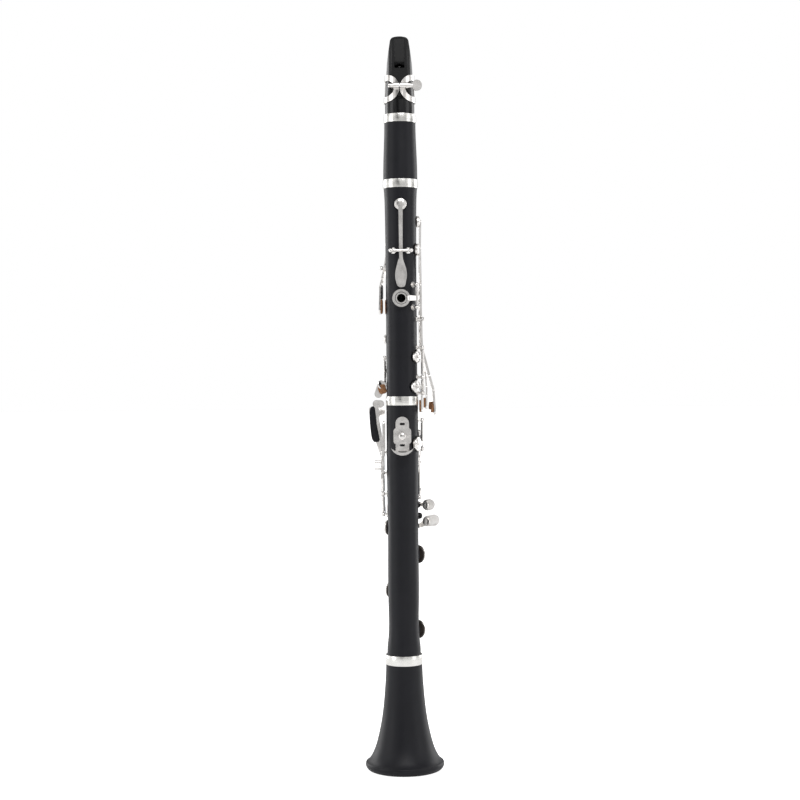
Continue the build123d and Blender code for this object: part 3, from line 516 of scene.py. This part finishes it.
def dome(name, body, radius, height, centre, axis):
    """A low polished dome on a flat base."""
    angles = [pi / 2 * k / DOME_STEPS for k in range(DOME_STEPS)]
    curve = [(radius * cos(a), height * sin(a)) for a in angles]
    bm = lathe([(0, 0)] + curve + [(0, height)], 36)
    return piece(name, as_mesh(bm, name, Matrix.Translation(centre) @ turned(axis)), NICKEL, body)


knob_low, knob_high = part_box("thumb_rest_screw")
knob_face = Vector((0, knob_low.y, (knob_low.z + knob_high.z) / 2))
dome("thumb_rest_screw_dome", "thumb_rest_screw", 3.3 * MM, 1.1 * MM, knob_face, TO_PLAYER)

CUP_TOP = 16.75  # flat top of a closed cup, from the bore axis
CUP_MARGIN = 0.95
CUP_DOME_H = 0.9 * MM
# key, phi and height of the cup, radius of the cup
DOMED_CUPS = (
    ("register_key", 0, 512.5, 5.4), ("side_key_2", 62, 374.6, 5.4), ("side_key_1", 55, 347.6, 5.6),
    ("side_key_3", 78, 472.0, 5.6), ("side_key_4", 98, 498.0, 5.2), ("lower_sliver_key", 62, 295.7, 6.3),
    ("a_flat_key", 243, 219.0, 6.7), ("low_f_sharp_key", 229, 161.5, 7.2), ("a_key", 186, 489.0, 5.0),
    ("g_sharp_key", 222, 478.0, 4.8), ("c_sharp_key", 218, 362.0, 5.2), ("upper_sliver_key", 240, 391.0, 4.7),
)
for key, phi, z, radius in DOMED_CUPS:
    dome(key + "_cup_dome", key, (radius - CUP_MARGIN) * MM, CUP_DOME_H, at(phi, CUP_TOP, z), outward(phi))

# ---------------------------------------------------------------- stage, light and camera


FLOOR_HALF = 14.0
FLOOR_GAP = 0.0005


def floor():
    mesh = bpy.data.meshes.new("floor")
    corners = [(x * FLOOR_HALF, y * FLOOR_HALF, 0) for x, y in ((-1, -1), (1, -1), (1, 1), (-1, 1))]
    mesh.from_pydata(corners, [], [(0, 1, 2, 3)])
    made = bpy.data.objects.new("floor", mesh)
    made.location.z = -FLOOR_GAP
    bpy.context.scene.collection.objects.link(made)
    mesh.materials.append(floor_white())


# name, place, (width, height), watts
SOFTBOXES = (
    ("left_box", (-1.55, -0.70, 0.45), (0.75, 1.7), 5.5),
    ("right_box", (1.55, -0.70, 0.45), (0.75, 1.7), 4.5),
    ("left_rim", (-1.35, 1.0, 0.5), (0.9, 1.7), 13),
    ("right_rim", (1.35, 1.0, 0.5), (0.9, 1.7), 11),
    ("overhead", (0.25, -1.5, 1.75), (1.3, 0.8), 14),
)
ROOM_SCALE = 2.3
ROOM_DETAIL = 1.5
ROOM_DARK = (0.34, 0.04)  # noise value and the strength that it turns into
ROOM_LIGHT = (0.66, 0.95)


def softbox(name, place, size, power):
    """One soft area light aimed at the middle of the clarinet."""
    light = bpy.data.lights.new(name, "AREA")
    light.shape = "RECTANGLE"
    light.size, light.size_y = size
    light.energy = power
    made = bpy.data.objects.new(name, light)
    made.location = place
    direction = Vector((0, 0, TIP_Z / 2)) - Vector(place)
    made.rotation_euler = direction.to_track_quat("-Z", "Y").to_euler()
    bpy.context.scene.collection.objects.link(made)


def studio():
    """An uneven pale room for the reflections, plain white to the camera, and five softboxes."""
    world = bpy.data.worlds.new("studio")
    world.use_nodes = True
    tree = world.node_tree
    surroundings = tree.nodes["Background"]
    surroundings.inputs["Color"].default_value = (1, 1, 1, 1)
    clouds = tree.nodes.new("ShaderNodeTexNoise")
    clouds.inputs["Scale"].default_value = ROOM_SCALE
    clouds.inputs["Detail"].default_value = ROOM_DETAIL
    level = tree.nodes.new("ShaderNodeMapRange")
    level.inputs["From Min"].default_value = ROOM_DARK[0]
    level.inputs["From Max"].default_value = ROOM_LIGHT[0]
    level.inputs["To Min"].default_value = ROOM_DARK[1]
    level.inputs["To Max"].default_value = ROOM_LIGHT[1]
    tree.links.new(tree.nodes.new("ShaderNodeTexCoord").outputs["Generated"], clouds.inputs["Vector"])
    tree.links.new(clouds.outputs["Fac"], level.inputs["Value"])
    tree.links.new(level.outputs["Result"], surroundings.inputs["Strength"])
    backdrop = tree.nodes.new("ShaderNodeBackground")
    backdrop.inputs["Color"].default_value = (1, 1, 1, 1)
    backdrop.inputs["Strength"].default_value = 1.0
    path = tree.nodes.new("ShaderNodeLightPath")
    mix = tree.nodes.new("ShaderNodeMixShader")
    tree.links.new(path.outputs["Is Camera Ray"], mix.inputs["Fac"])
    tree.links.new(surroundings.outputs["Background"], mix.inputs[1])
    tree.links.new(backdrop.outputs["Background"], mix.inputs[2])
    tree.links.new(mix.outputs["Shader"], tree.nodes["World Output"].inputs["Surface"])
    bpy.context.scene.world = world
    for name, place, size, power in SOFTBOXES:
        softbox(name, place, size, power)


CAMERA_DISTANCE = 1.48
CAMERA_HEIGHT = 0.361
FOCAL_MM = 73.1
SENSOR_MM = 36
SHIFT = (-0.0023, -0.035)
LEAN_DEG = 0.47


def camera():
    """A long lens facing the thumb side."""
    lens = bpy.data.cameras.new("camera")
    lens.lens = FOCAL_MM
    lens.sensor_width = SENSOR_MM
    lens.shift_x, lens.shift_y = SHIFT
    made = bpy.data.objects.new("camera", lens)
    roll = Matrix.Rotation(radians(LEAN_DEG), 4, "Y")
    level = Matrix.Rotation(radians(90), 4, "X")
    made.matrix_world = Matrix.Translation((0, -CAMERA_DISTANCE, CAMERA_HEIGHT)) @ roll @ level
    bpy.context.scene.collection.objects.link(made)
    bpy.context.scene.camera = made


floor()
studio()
camera()
bpy.context.scene.view_settings.view_transform = "Standard"
